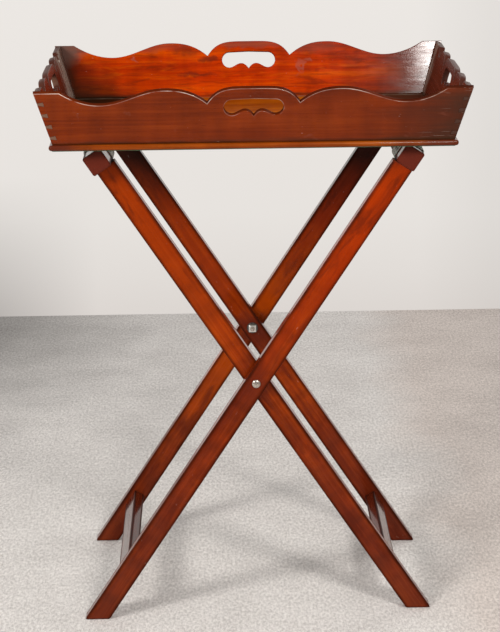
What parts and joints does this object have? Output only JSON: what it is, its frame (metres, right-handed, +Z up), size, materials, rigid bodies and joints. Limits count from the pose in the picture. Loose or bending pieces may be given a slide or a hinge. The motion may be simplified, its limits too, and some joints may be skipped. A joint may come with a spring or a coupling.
{
  "type": "butler tray on folding stand",
  "caption": "Rectangular serving tray with flared, scalloped sides and pierced hand grips, on a folding X-frame stand held open by webbing straps.",
  "frame": {"origin": "floor level, under the middle of the tray, with the stand open", "axes": "+X to the right along the tray's length, +Y from the front to the back, +Z up"},
  "size_m": [0.6916, 0.4782, 0.9305],
  "materials": {
    "tray_mahogany": "French-polished, with fine lengthwise grain",
    "base_mahogany": "French-polished, lighter and more orange than the walls",
    "leg_mahogany": "French-polished, darker at worn edges",
    "rail_mahogany": "dark French polish, worn at the edges",
    "green_baize": "napped wool cloth",
    "grey_webbing": "twill-woven undyed webbing, greyed with age",
    "bright_steel": "worn bright steel",
    "dark_steel": "darkened iron and steel"
  },
  "bodies": {
    "outer_frame": {"outer_leg_front": "leg_mahogany", "outer_leg_back": "leg_mahogany", "outer_top_rail": "rail_mahogany", "outer_stretcher": "leg_mahogany", "outer_strap_tack_1": "dark_steel", "outer_strap_tack_2": "dark_steel", "outer_strap_tack_3": "dark_steel", "outer_strap_tack_4": "dark_steel", "outer_strap_tack_5": "dark_steel", "outer_strap_tack_6": "dark_steel", "pivot_bolt_front": "bright_steel", "spacer_washer_front": "dark_steel", "nut_washer_front": "dark_steel", "pivot_nut_front": "bright_steel", "pivot_bolt_back": "bright_steel", "spacer_washer_back": "dark_steel", "nut_washer_back": "dark_steel", "pivot_nut_back": "bright_steel", "strap_front": "grey_webbing", "strap_back": "grey_webbing"},
    "inner_frame": {"inner_leg_front": "leg_mahogany", "inner_leg_back": "leg_mahogany", "inner_top_rail": "rail_mahogany", "inner_stretcher": "leg_mahogany", "inner_strap_tack_1": "dark_steel", "inner_strap_tack_2": "dark_steel", "inner_strap_tack_3": "dark_steel", "inner_strap_tack_4": "dark_steel", "inner_strap_tack_5": "dark_steel", "inner_strap_tack_6": "dark_steel"},
    "tray": {"tray_bottom": "base_mahogany", "baize_lining": "green_baize", "front_wall": "tray_mahogany", "back_wall": "tray_mahogany", "left_end": "tray_mahogany", "right_end": "tray_mahogany", "base_screw_1": "dark_steel", "base_screw_2": "dark_steel", "base_screw_3": "dark_steel", "base_screw_4": "dark_steel", "base_screw_5": "dark_steel", "base_screw_6": "dark_steel", "base_screw_7": "dark_steel", "base_screw_8": "dark_steel"}
  },
  "joints": [
    {"name": "stand_fold", "type": "hinge", "parent": "outer_frame", "child": "inner_frame", "pos_m": [0, 0, 0.423], "axis": [0, 1, 0], "range_deg": [0, 61], "deforming": ["strap_front", "strap_back"]},
    {"name": "tray_lift", "type": "slide", "parent": "outer_frame", "child": "tray", "axis": [0, 0, 1], "range_m": [0, 0.3407]}
  ],
  "couplings": [
    {"joint": "tray_lift", "follows": "stand_fold", "m_per_rad": 0.32}
  ]
}
